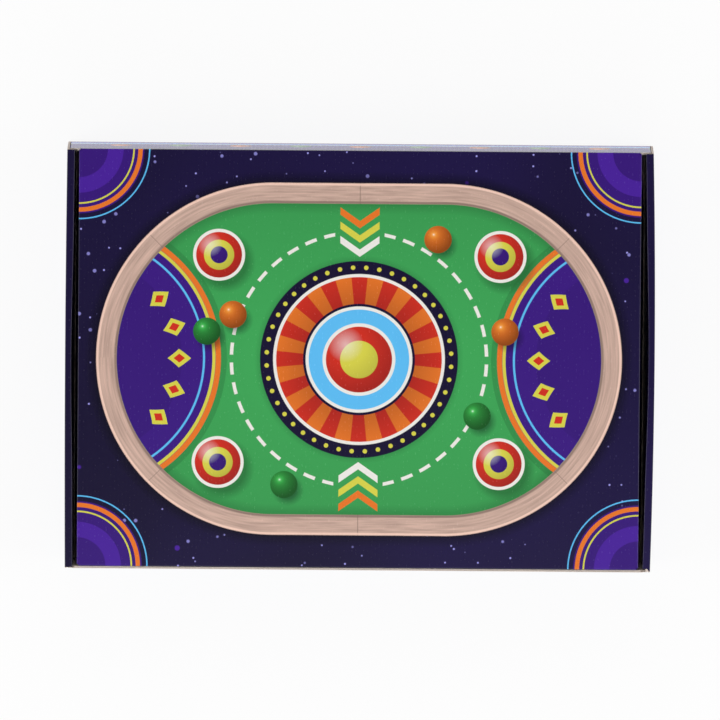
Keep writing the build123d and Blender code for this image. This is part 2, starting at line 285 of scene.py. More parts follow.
def board(name, strips, axes, design, thickness, layers=("print", "wave", "backing"), bend=None):
    """A piece of corrugated board: a printed liner, a waved medium and an inner liner along strips' paths.

    A strip is the corners of a path along the board's middle, its two bounds across the path, each a number
    or a function of the distance along it, and how many rows it has. The printed liner follows a path of its
    own on the board's face, with tighter corners. The medium's offset is a cosine of the distance.
    """
    sizes = in_mm("carton_sizes")
    half = thickness / 2
    crest = half - sizes.liner - sizes.medium / 2
    trough = half - sizes.backing - sizes.medium / 2
    points, faces, printed, run = [], [], [], []
    for corners, *bounds, rows in strips:
        for layer in layers:
            if layer == "print":
                path = rounded_path(beside(corners, half), sizes.crease)
            else:
                path = rounded_path(corners, half)
            steps_per_flute = 8 if layer == "wave" else 2
            at, middle, normals = stepped(path, sizes.flute / steps_per_flute)
            low, high = (bound(at) if callable(bound) else np.full(len(at), float(bound)) for bound in bounds)
            wave = (crest - trough) / 2 + np.cos(2 * pi * at / sizes.flute) * (crest + trough) / 2
            outer, inner = {
                "print": (0 * at, 0 * at - sizes.liner),
                "wave": (wave + sizes.medium / 2, wave - sizes.medium / 2),
                "backing": (0 * at - half + sizes.backing, 0 * at - half),
            }[layer]
            ring, quads, shown = paper(middle, normals, outer, inner, low, high, rows)
            faces.append(quads + sum(map(len, points)))
            points.append(ring)
            printed.append(shown & (layer == "print"))
            run.append(np.tile(at, len(ring) // len(at)))
    points = np.concatenate(points) @ axes
    if bend is not None:
        points = bend(points)
    faces, unprinted = np.concatenate(faces).tolist(), ~np.concatenate(printed)
    materials = [carton_material(design), carton_material("plain")]
    return make_piece(name, points, faces, materials, unprinted, np.concatenate(run))


def sphere(name, middle, radius, material, segments=64, rings=32):
    """A ball: radius times the unit vectors at even steps of longitude and latitude, closed at its poles."""
    turn = np.linspace(0, 2 * pi, segments, endpoint=False)
    tilt = np.linspace(0, pi, rings + 1)[1:-1, None]
    grid = [np.sin(tilt) * np.cos(turn), np.sin(tilt) * np.sin(turn), np.cos(tilt) + 0 * turn]
    poles = [[0, 0, 1], [0, 0, -1]]
    points = np.concatenate([np.stack(grid, axis=2).reshape(-1, 3), poles]) * radius + middle
    number = np.arange((rings - 1) * segments).reshape(rings - 1, segments)
    after = np.roll(number, -1, axis=1)
    faces = np.stack([number[:-1], number[1:], after[1:], after[:-1]], axis=2).reshape(-1, 4).tolist()
    top, bottom = np.full(segments, number.size), np.full(segments, number.size + 1)
    for cap in ((top, number[0], after[0]), (bottom, after[-1], number[-1])):
        faces += np.stack(cap, axis=1).tolist()
    return make_piece(name, points, faces, [material], sharp=180.0)


def settle(piece, body, slot, *nodes):
    """A piece rides on its body and stands for its solids. Its slot is not used."""
    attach(piece, body)
    if nodes:
        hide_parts(*nodes)


def dress(nodes, material):
    """Gives solids that show as they are their finish."""
    for name in nodes:
        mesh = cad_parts[name].data
        mesh.materials.clear()
        mesh.materials.append(material)


# Materials


def add_node(tree, kind, inputs=None, **settings):
    """Adds a node. Settings are its properties, and inputs give its sockets their values or links."""
    made = tree.nodes.new(kind)
    for name, value in settings.items():
        setattr(made, name, value)
    for key, value in (inputs or {}).items():
        value = getattr(value, "socket", value)
        if isinstance(value, bpy.types.NodeSocket):
            tree.links.new(value, made.inputs[key])
        else:
            made.inputs[key].default_value = value
    return made


class Field:
    """A number that varies over a surface. Arithmetic on it becomes nodes of its material."""

    def __init__(self, tree, socket):
        self.tree = tree
        self.socket = socket

    def then(self, operation, *others, clamp=False):
        """What an operation on it, and on others, gives."""
        inputs = dict(enumerate((self, *others)))
        made = add_node(self.tree, "ShaderNodeMath", inputs, operation=operation, use_clamp=clamp)
        return Field(self.tree, made.outputs[0])

    def __rsub__(self, other):
        return self.then("MULTIPLY_ADD", -1.0, other)

    __add__ = __radd__ = partialmethod(then, "ADD")
    __sub__ = partialmethod(then, "SUBTRACT")
    __mul__ = __rmul__ = partialmethod(then, "MULTIPLY")
    __truediv__ = partialmethod(then, "DIVIDE")
    __pow__ = partialmethod(then, "POWER")
    __abs__ = partialmethod(then, "ABSOLUTE")
    least = partialmethod(then, "MINIMUM")
    most = partialmethod(then, "MAXIMUM")

    def share(self):
        """Held between 0 and 1."""
        return self.then("ADD", 0.0, clamp=True)

    def past(self, level, gain):
        """How far it is past a level, times a gain and held between 0 and 1."""
        return ((self - level) * gain).share()

    def fading(self, reach):
        """From 1 at nothing to 0 at a reach."""
        return (1 - self / reach).share()

    def inside(self, soft=0.4):
        """1 where a signed distance in millimetres is negative, and 0 where it isn't, over a soft edge."""
        return (0.5 - self / soft).share()

    def band(self, middle, half):
        """The signed distance from a band with this middle and half width."""
        return abs(self - middle) - half


def from_point(x, y, middle=(0.0, 0.0)):
    """The distance to a point."""
    dx, dy = x - middle[0], y - middle[1]
    return (dx * dx + dy * dy) ** 0.5


class Finish:
    """A material in the making: its nodes, and the place on the piece in millimetres."""

    def __init__(self, name):
        self.material = bpy.data.materials.new(name)
        self.material.use_nodes = True
        self.tree = self.material.node_tree
        self.tree.nodes.clear()
        self.shader = self.add("ShaderNodeBsdfPrincipled")
        self.output = self.add("ShaderNodeOutputMaterial", {"Surface": self.shader.outputs[0]})
        self.coordinates = self.add("ShaderNodeTexCoord")
        scale = {0: self.coordinates.outputs["Object"], "Scale": 1 / MM}
        self.place = self.add("ShaderNodeVectorMath", scale, operation="SCALE").outputs[0]
        axes = self.add("ShaderNodeSeparateXYZ", {0: self.place}).outputs
        self.x, self.y, self.z = (Field(self.tree, axis) for axis in axes)

    def add(self, kind, inputs=None, **settings):
        return add_node(self.tree, kind, inputs, **settings)

    def uneven(self, size, drawn=(1, 1, 1), detail=3.0, place=None):
        """Unevenness about size millimetres wide and drawn out along the axes, as a field round 0.5."""
        moved = {"Vector": place or self.place, "Scale": [1 / (size * factor) for factor in drawn]}
        inputs = {"Vector": self.add("ShaderNodeMapping", moved).outputs[0], "Scale": 1.0, "Detail": detail}
        return Field(self.tree, self.add("ShaderNodeTexNoise", inputs).outputs[0])

    def flutes(self):
        """The flutes that show through a liner: a cosine of the distance that the board has run."""
        run = Field(self.tree, self.add("ShaderNodeAttribute", attribute_name="run").outputs["Fac"])
        return (run * (2 * pi / in_mm("carton_sizes").flute)).then("COSINE")

    def lay(self, ground, *inks):
        """Inks laid over a ground in turn. Each is the share that it covers, from 0 to 1, and its colour.

        A Mix node takes two colours by its sockets 6 and 7, and gives one by its socket 2.
        """
        for share, over in inks:
            inputs = {0: share}
            for key, colour in ((6, ground), (7, over)):
                inputs[key] = colour if isinstance(colour, bpy.types.NodeSocket) else (*colour, 1)
            ground = self.add("ShaderNodeMix", inputs, data_type="RGBA").outputs[2]
        return ground

    def shown(self, colour, texture, smooth, rough, relief, **constants):
        """Joins a colour, and a roughness and a relief in millimetres that follow one texture."""
        for name, value in constants.items():
            self.shader.inputs[name].default_value = value
        sheen = self.add("ShaderNodeMapRange", {"Value": texture, "To Min": smooth, "To Max": rough})
        bump = self.add("ShaderNodeBump", {"Strength": 1.0, "Distance": relief * MM, "Height": texture})
        self.tree.links.new(colour, self.shader.inputs["Base Color"])
        self.tree.links.new(sheen.outputs[0], self.shader.inputs["Roughness"])
        self.tree.links.new(bump.outputs[0], self.shader.inputs["Normal"])
        return self.material


def speckled_ground(finish, *washes, dotted=1.0):
    """The navy ground, a little violet in places, with dots where it cuts small balls in the cells of a net.

    Washes of other inks can lie under the dots, and a share can keep the dots to some places.
    """
    cloud = finish.uneven(190.0, detail=1.0).past(0.4, gain=2.5)
    ground = finish.lay(ink("navy"), (cloud, ink("violet")), *washes)
    dots = ((31.0, 2.4, "purple", 1.8), (19.0, 1.4, "lavender", 1.0), (11.0, 0.7, "lavender", 1.7))
    for cell, radius, name, tone in dots:
        net = {"Vector": finish.place, "Scale": 1 / cell, "Randomness": 0.9}
        distance = Field(finish.tree, finish.add("ShaderNodeTexVoronoi", net).outputs["Distance"]) * cell
        ground = finish.lay(ground, ((distance - radius).inside(0.6) * 0.9 * dotted, ink(name, tone)))
    return ground


def film_over_print(finish, colour):
    """Clear gloss film over offset print: an even sheen, with the board's flutes faintly showing through."""
    texture = finish.uneven(2.6, detail=2.0) + finish.flutes() * 0.12
    return finish.shown(colour, texture, smooth=0.2, rough=0.3, relief=0.01, IOR=1.5)


class LidPrint(Finish):
    """Offset print for the lid, laid motif by motif and measured from the lid's middle."""

    def __init__(self):
        super().__init__("gloss_film_over_lid_print")
        low, high = span("lid_panel")
        self.design = in_mm("lid_design")
        self.dark, self.deep_green = linear("#0a0718"), ink("green", 0.35)
        self.lid_corner = high[0], (high[1] - low[1]) / 2
        self.v = self.y - (low[1] + high[1]) / 2
        self.across, self.updown = abs(self.x), abs(self.v)
        self.spread = from_point(self.x, self.v)
        self.turn = self.v.then("ARCTAN2", self.x)
        self.printed = speckled_ground(self)

    def over(self, *inks):
        """Lays inks over what is printed so far."""
        self.printed = self.lay(self.printed, *inks)

    def target(self, x, y, cap, *rings):
        """Rings, each a radius and an ink's name, laid over each other, and a cap made to look domed.

        The cap is shaded towards its lower right and has a glint at its upper left.
        """
        distance = from_point(x, y)
        for radius, name in rings:
            self.over(((distance - radius).inside(), ink(name)))
        capped = (distance - cap).inside()
        lit = from_point(x, y, (-cap * 0.4, cap * 0.45)) / cap
        self.over(
            ((lit - 0.6).share() * capped * 0.42, self.dark),
            (lit.fading(0.55) * capped * 0.45, WHITE),
        )

    def quarter_discs(self):
        """A disc round each corner, with rings."""
        edge = from_point(self.across, self.updown, self.lid_corner) - self.design.corner
        self.over(
            (edge.inside(), ink("purple")),
            (edge.band(-3.0, 1.7).inside(), ink("orange")),
            (edge.band(-8.0, 0.6).inside(), ink("yellow")),
            (edge.band(-22.0, 6.0).inside(), ink("purple", 1.7)),
            (edge.band(4.0, 0.5).inside(), ink("blue")),
        )

    def timber_and_field(self):
        """A timber band, with rings of grain and joints, round a green field that it shades."""
        grain, grain_run, turn_run = 1.6, 7, 60.0
        halo, rim_shade, grass_fade = 9.0, 8.0, 130.0
        beyond = (self.across - self.design.straight).most(0.0)
        from_line = from_point(beyond, self.v)
        oval = from_line - self.design.radius
        self.field = field = oval + self.design.band
        ringwise = self.add("ShaderNodeCombineXYZ", {0: oval, 1: self.turn * turn_run}).outputs[0]
        rings = self.uneven(grain, drawn=(1, grain_run, 1), place=ringwise).past(0.3, gain=2.2)
        joint = abs(beyond - self.updown).least(self.across) - 0.3
        timber = self.lay(
            ink("timber", 0.72),
            (rings, ink("timber", 1.12)),
            (joint.inside() * 0.7, ink("timber", 0.3)),
            (oval.band(-1.2, 0.8).inside() * 0.8, ink("timber", 1.5)),
            (field.band(1.0, 1.0).inside(1.0) * 0.8, ink("timber", 0.35)),
        )
        grass = self.lay(ink("green", 0.9), (from_line.fading(grass_fade), ink("green", 1.1)))
        self.over(
            (oval.fading(halo) * 0.8, self.dark),
            (oval.inside(), timber),
            (field.inside(), grass),
            ((1 + field / rim_shade).share() * field.inside() * 0.45, self.deep_green),
        )

    def end_zones(self):
        """A purple zone with a ringed edge at each end of the field, and diamonds on an arc in it."""
        arc, step, count = self.design.diamond_arc, radians(19.0), 5
        half_long, slimness, far = 9.0, 1.25, 50.0
        zone_x = self.across - self.design.zone_reach
        from_zone = from_point(zone_x, self.v)
        zone = from_zone - self.design.zone_radius
        around = self.v.then("ARCTAN2", zone_x * -1.0) / step
        cell = (around + 0.5).then("FLOOR")
        diamond = abs(around - cell) * (step * arc * slimness) + abs(from_zone - arc) - half_long
        diamond = diamond.most((abs(cell) - count / 2) * far)
        for edge, amount, colour in (
            (zone - 4.5, 0.35, self.deep_green),
            (zone, 1.0, ink("purple", 1.15)),
            (zone + 30.0, 1.0, ink("purple")),
            (zone.band(-2.0, 2.0), 1.0, ink("orange")),
            (zone.band(-5.4, 1.2), 1.0, ink("yellow")),
            (zone.band(-13.0, 0.8), 1.0, ink("blue")),
            (diamond, 1.0, ink("yellow")),
            (diamond + 4.6, 1.0, ink("red")),
        ):
            self.over((edge.most(self.field).inside() * amount, colour))

    def track_and_chevrons(self):
        """A dashed circle, open at the top and the bottom, where ranks of chevrons point inwards."""
        dash_step, dash_half, steepness, line_half, opening = radians(9.0), 0.3, 12.0, 1.3, 19.0
        first, spacing, slope, stroke_half, reach = 82.0, 11.0, 0.7, 2.8, 15.0
        dash = (self.turn / dash_step).then("FRACT").band(0.5, dash_half) * steepness
        track = self.spread.band(self.design.track, line_half).most(dash).most(opening - self.across)
        self.over((track.inside(), ink("white")))
        for rank, name in enumerate(("white", "yellow", "orange")):
            chevron = (self.updown - self.across * slope).band(first + spacing * rank, stroke_half)
            self.over((chevron.most(self.across - reach).inside(), ink(name)))

    def roundel(self):
        """A disc with a beaded rim and rays that darken inwards, and a target in its middle."""
        spread, radius = self.spread, self.design.roundel
        rim, beads, bead_radius = radius - 5.0, 44, 1.7
        ray_step, ray_half, steepness = radians(22.5), 0.25, 0.4
        bead_step = 2 * pi / beads
        along_rim = ((self.turn / bead_step).then("FRACT") - 0.5) * (bead_step * rim)
        bead = from_point(along_rim, spread - rim) - bead_radius
        ray = (self.turn / ray_step).then("FRACT").band(0.5, ray_half) * spread * steepness
        warm = self.lay(
            ink("red"),
            (ray.inside(), ink("orange")),
            ((spread - 44.0).fading(22.0) * 0.3, self.dark),
        )
        self.over(
            ((spread - radius).inside(9.0) * 0.6, self.deep_green),
            ((spread - radius).inside(), ink("navy")),
            (bead.inside(), ink("yellow")),
            ((spread - 66.0).inside(), ink("white")),
            ((spread - 63.6).inside(), warm),
        )
        outer = ((43.0, "navy"), (41.0, "white"), (38.6, "blue"), (28.0, "white"))
        self.target(self.x, self.v, 25.4, *outer, (25.4, "red"), (14.5, "yellow"))

    def bumpers(self):
        """Four targets on soft shadows."""
        places = ((self.x, self.design.bumper_x), (self.v, self.design.bumper_y))
        right, up = (at - at.then("SIGN") * off for at, off in places)
        shadow = from_point(right, up, (4.0, -5.0)) - 21.0
        self.over((shadow.inside(7.0) * 0.7, self.deep_green))
        self.target(right, up, 17.6, (20.0, "white"), (17.6, "red"), (11.6, "yellow"), (6.6, "purple"))

    def balls(self):
        """Balls lit from the upper left, on soft shadows."""
        radius, shadow_fade = self.design.ball, 6.0
        for x, v, name in (
            (-97.0, 34.0, "orange"),
            (-117.0, 21.0, "leaf"),
            (91.0, -43.0, "leaf"),
            (60.0, 93.0, "orange"),
            (112.0, 22.0, "orange"),
            (-57.0, -97.0, "leaf"),
        ):
            shadow = from_point(self.x, self.v, (x + radius * 0.3, v - radius * 0.4)) - radius
            lit = from_point(self.x, self.v, (x - radius * 0.32, v + radius * 0.36)).fading(radius * 1.3)
            body = self.lay(ink(name, 0.35), (lit, ink(name)), (lit**6.0, ink(name, 2.5)), (lit**30.0, WHITE))
            edge = from_point(self.x, self.v, (x, v)) - radius
            self.over(((0.35 - shadow / shadow_fade).share() * 0.6, self.dark), (edge.inside(), body))


def lid_print():
    """Offset print under gloss film on the lid: a rayed roundel on an oval field with a timber band."""
    lid = LidPrint()
    lid.quarter_discs()
    lid.timber_and_field()
    lid.end_zones()
    lid.track_and_chevrons()
    lid.roundel()
    lid.bumpers()
    lid.balls()
    return film_over_print(lid, lid.printed)


def wall_print():
    """The same print on the walls: purple low down, with stripes and a row of balls standing on them."""
    finish = Finish("gloss_film_over_wall_print")
    half_width, half_depth, _ = span("base_panel")[1]
    x, y, z = finish.x, finish.y, finish.z
    skin, wash_fade, wash_top, dots_top = 1.0, 80.0, 55.0, 52.0
    shelf, spacing, radius, lit_reach = 18.6, 46.0, 8.6, 11.0
    from_side, from_end = half_width - skin - abs(x), half_depth - skin - abs(y)
    outside = from_side.least(from_end).inside()
    wash = (1.15 - z / wash_fade).share() * (z - wash_top).inside(5.0) * outside
    printed = speckled_ground(finish, (wash, ink("purple", 1.3)), dotted=(z - dots_top).inside(6.0))
    for bottom, top, name in ((6.0, 13.0, "lavender"), (13.0, 16.6, "blue"), (16.6, shelf, "white")):
        stripe = z.band((bottom + top) / 2, (top - bottom) / 2)
        printed = finish.lay(printed, (stripe.inside() * outside, ink(name)))
    run = x + (y - x) * from_side.inside()
    cell = (run / spacing + 0.5).then("FLOOR")
    at = run - cell * spacing
    odd = (cell / 2.0).then("FRACT").then("GREATER_THAN", 0.25)
    lit = from_point(at, z, (-2.6, shelf + radius + 3.0)).fading(lit_reach)
    body = finish.lay(
        ink("orange"),
        (odd, ink("leaf")),
        ((1 - lit) * 0.75, ink("navy")),
        (lit**7.0 * 0.8, ink("white")),
    )
    edge = from_point(at, z, (0.0, shelf + radius)) - radius
    return film_over_print(finish, finish.lay(printed, (edge.inside() * outside, body)))


def plain_board(name="recycled_liner_board", printed=False):
    """Uncoated recycled liner: matt grey-brown with fibres and specks. Print can cover its underside."""
    finish = Finish(name)
    fibres = finish.uneven(0.9, drawn=(1, 4, 1), detail=5.0) + finish.flutes() * 0.06
    tone = (fibres * 0.75 + finish.uneven(30.0, detail=2.0) * 0.25).past(0.25, gain=1.7)
    specks = finish.uneven(0.7, detail=1.0).past(0.68, gain=8.0)
    colour = finish.lay(ink("board", 0.8), (tone, ink("board", 1.12)), (specks * 0.5, ink("board", 0.4)))
    if not printed:
        return finish.shown(colour, fibres, smooth=0.75, rough=0.92, relief=0.03)
    facing = finish.add("ShaderNodeSeparateXYZ", {0: finish.coordinates.outputs["Normal"]})
    underside = (0.5 - Field(finish.tree, facing.outputs[2]) * 4.0).share()
    colour = finish.lay(colour, (underside, speckled_ground(finish)))
    return finish.shown(colour, fibres, smooth=0.4, rough=0.7, relief=0.02)


def lacquered_beech(axis):
    """Planed beech under thin satin lacquer: fine straight grain along one axis, with short darker flecks."""
    finish = Finish(f"lacquered_beech_along_{'xyz'[axis]}")
    long, short = np.ones(3), np.ones(3)
    long[axis], short[axis] = 26.0, 7.0
    streaks = finish.uneven(2.2, long, detail=5.0)
    flecks = finish.uneven(0.55, short, detail=1.0).past(0.64, gain=9.0)
    tone = (streaks * 0.55 + finish.uneven(9.0, long, detail=2.0) * 0.45).past(0.3, gain=2.3)
    wood = finish.lay(ink("beech", 0.68), (tone, ink("beech", 1.12)), (flecks * 0.45, ink("beech", 0.4)))
    return finish.shown(wood, streaks, smooth=0.34, rough=0.5, relief=0.05)


def painted_playfield():
    """Green satin paint on fibreboard, with a slight orange-peel and white rings and lane lines on it."""
    finish = Finish("green_paint_on_fibreboard")
    x, v = finish.x, finish.y - sum(span("playfield_board"))[1] / 2
    lane_half, lane_start, lane_end = 32.0, 98.0, 138.0
    spread = from_point(x, v)
    lane = abs(v).band(lane_half, 0.7).most(lane_start - abs(x)).most(abs(x) - lane_end)
    paint = finish.lay(
        ink("green", 0.86),
        (finish.uneven(60.0, detail=2.0), ink("green", 1.12)),
        (spread.band(48.0, 1.2).inside(), ink("white")),
        (spread.band(53.0, 0.5).inside(), ink("white")),
        (lane.inside(), ink("white")),
    )
    return finish.shown(paint, finish.uneven(1.6, detail=4.0), smooth=0.34, rough=0.5, relief=0.02)


def painted_cover():
    """Purple satin paint on fibreboard, with two lines and a row of diamonds along the slanting edge."""
    finish = Finish("purple_paint_on_fibreboard")
    low, high = span("rear_right_cover")
    centre = sum(span("playfield_board"))[1] / 2
    slant_run, skin = 58.0, 1.0
    step, from_edge, half, slimness = 20.0, 24.0, 6.0, 1.2
    slope = Vector((high[1] - low[1], slant_run)).normalized()
    from_x = abs(finish.x) - (low[0] + slant_run)
    from_v = abs(finish.y - centre) - (low[1] - centre)
    from_slant = from_x * slope[0] + from_v * slope[1]
    along_slant = (from_v * slope[0] - from_x * slope[1]) / step
    diamond = abs(along_slant.then("FRACT") - 0.5) * (step * slimness) + abs(from_slant - from_edge) - half
    top = (high[2] - skin - finish.z).inside()
    paint = finish.lay(
        ink("purple", 0.85),
        (finish.uneven(45.0, detail=2.0), ink("purple", 1.3)),
        (from_slant.band(9.0, 1.6).inside() * top, ink("orange")),
        (from_slant.band(13.0, 0.7).inside() * top, ink("yellow")),
        (diamond.inside() * top, ink("yellow")),
    )
    return finish.shown(paint, finish.uneven(1.4, detail=4.0), smooth=0.3, rough=0.46, relief=0.02)


def lane_card():
    """Coated card printed from orange to red along the lane, with pale discs and a white line by its edge."""
    finish = Finish("coated_lane_card")
    low, high = span("right_lane_panel")
    half, reach = (high[1] - low[1]) / 2, high[0] - low[0]
    across, v = abs(finish.x), finish.y - (low[1] + high[1]) / 2
    inward = (across - (low[0] + half)).least(0.0)
    edge = from_point(inward, v) - half
    printed = finish.lay(
        ink("orange"),
        (((across - low[0]) / reach).share(), ink("red")),
        (edge.band(-3.0, 1.0).inside(), ink("white")),
    )
    for share in (0.2, 0.44, 0.68):
        spot = from_point(across, v, (low[0] + share * reach, 0.0))
        for radius, name in ((8.6, "white"), (7.4, "blue")):
            printed = finish.lay(printed, ((spot - radius).inside(), ink(name)))
    return finish.shown(printed, finish.uneven(1.5), smooth=0.3, rough=0.42, relief=0.01)


def moulded_ball(name, colour):
    """Moulded polystyrene, tumbled to a gloss: an even colour with a hint of swirl and fine scratches."""
    finish = Finish(f"{name}_moulded_polystyrene")
    swirl = finish.lay(ink(colour, 0.82), (finish.uneven(7.0), ink(colour, 1.18)))
    scratches = finish.uneven(0.5, drawn=(1, 5, 1), detail=2.0)
    return finish.shown(swirl, scratches, smooth=0.1, rough=0.24, relief=0.004, IOR=1.59)


def turned_steel():
    """Turned and tumbled mild steel: grey, with fine streaks from the tool."""
    finish = Finish("turned_mild_steel")
    streaks = finish.uneven(0.35, drawn=(1, 1, 5))
    grey = finish.lay(linear("#8f9094"), (streaks, linear("#c9cacd")))
    return finish.shown(grey, streaks, smooth=0.28, rough=0.45, relief=0.01, Metallic=1.0)


@cache
def carton_material(design):
    """The print of the lid or of the walls, or the plain board, each made once for a carton."""
    return {"lid": lid_print, "walls": wall_print, "plain": plain_board}[design]()


# Pieces


class GAME_OT_tray(bpy.types.Operator):
    """The carton's tray: its floor, its rolled side walls, and its end walls with their corner flaps"""

    bl_idname = "game.tray"
    bl_label = "Tray"

    def execute(self, context):
        carton_material.cache_clear()
        dress(["base_panel"], plain_board("printed_floor_board", printed=True))
        thickness = span("base_panel")[1][2]
        self.side_walls(thickness)
        self.end_walls(thickness)
        return {"FINISHED"}

    def bowed(self, points):
        """Side walls lean out by a parabola along their length, in proportion to the height.

        The inner layer of a rolled wall leans out further near the middle, by the square of a parabola.
        """
        sizes = in_mm("carton_sizes")
        low, high = span("right_side_wall")
        x, y, z = points.T
        from_outside = np.clip((high[0] - np.abs(x)) / (high[0] - low[0]), 0, 1)
        bow = np.where(x > 0, sizes.right_bow, sizes.left_bow) * (1 - (y / high[1]) ** 2)
        pinch = sizes.pinch * np.clip(1 - (y / sizes.pinch_reach) ** 2, 0, 1) ** 2 * from_outside
        out = np.sign(x) * (bow + pinch) * z / high[2]
        points[:, 0] += np.where(np.abs(x) > low[0] - sizes.liner, out, 0)
        return points

    def side_walls(self, thickness):
        """Each is one board from its feet up inside, over the top and down outside, where it is longest.

        The right-hand roll has a notch at its front end, which leaves a lip over the outer layer.
        """
        low, high = span("right_side_wall")
        inner_gap, roll_gap, lip, notches, rows = 1.2, 0.8, 3.2, (0.0, 2.0), 24
        foot_middle, foot_half = 92.0, 17.0
        half, floor = thickness / 2, thickness
        inner, outer, top = low[0] + half, high[0] - half, high[2] - half
        path = [(inner, floor), (inner, top), (outer, top), (outer, floor)]
        inner_start, roll_start = span("front_wall")[1][1] + inner_gap, low[1] + roll_gap
        rise = top - floor - half

        def start(at, notch=0.0):
            roll = np.where(at[-1] - at > rise + lip, roll_start + notch, roll_start)
            return np.where(at < rise, inner_start, np.where(at[-1] - at > rise, roll, low[1]))

        foot = [(inner, low[2]), (inner, floor)]
        feet = [(foot, middle - foot_half, middle + foot_half, 1) for middle in (-foot_middle, foot_middle)]
        for (side, sign), notch in zip(SIDES, notches):
            axes = PATH_XZ * [[sign], [1], [1]]
            strips = [(path, partial(start, notch=notch), lambda at: -start(at), rows), *feet]
            piece = board(f"{side}_rolled_wall", strips, axes, "walls", thickness, bend=self.bowed)
            settle(piece, "tray", "printed_carton", f"{side}_side_wall")

    def end_walls(self, thickness):
        """Each is one board, bent at both corners into the flaps that the side walls are rolled over."""
        taper, clearance, rows = 10.0, 0.8, 8
        for row, sign in ROWS:
            wall_low, wall_high = span(f"{row}_wall")
            flap_low, flap_high = span(f"{row}_right_corner_flap")
            flap_x = (flap_low[0] + flap_high[0]) / 2
            wall_y = abs(wall_low[1] + wall_high[1]) / 2
            flap_end = np.abs([flap_low[1], flap_high[1]]).min()
            path = [(-flap_x, flap_end), (-flap_x, wall_y), (flap_x, wall_y), (flap_x, flap_end)]
            flap = wall_y - flap_end
            under_roll = flap + flap_x - span("right_side_wall")[0][0] + clearance

            def tapered(at):
                from_end = np.minimum(at, at[-1] - at)
                return from_end, taper * np.clip(1 - from_end / flap, 0, 1)

            def bottom(at):
                return thickness + tapered(at)[1]

            def top(at):
                from_end, inset = tapered(at)
                return np.where(from_end < under_roll, flap_high[2] - inset, wall_high[2])

            axes = PATH_XY * [[1], [sign], [1]]
            strip = (path, bottom, top, rows)
            piece = board(f"{row}_folded_wall", [strip], axes, "walls", thickness, bend=self.bowed)
            nodes = [f"{row}_wall", f"{row}_left_corner_flap", f"{row}_right_corner_flap"]
            settle(piece, "tray", "printed_carton", *nodes)


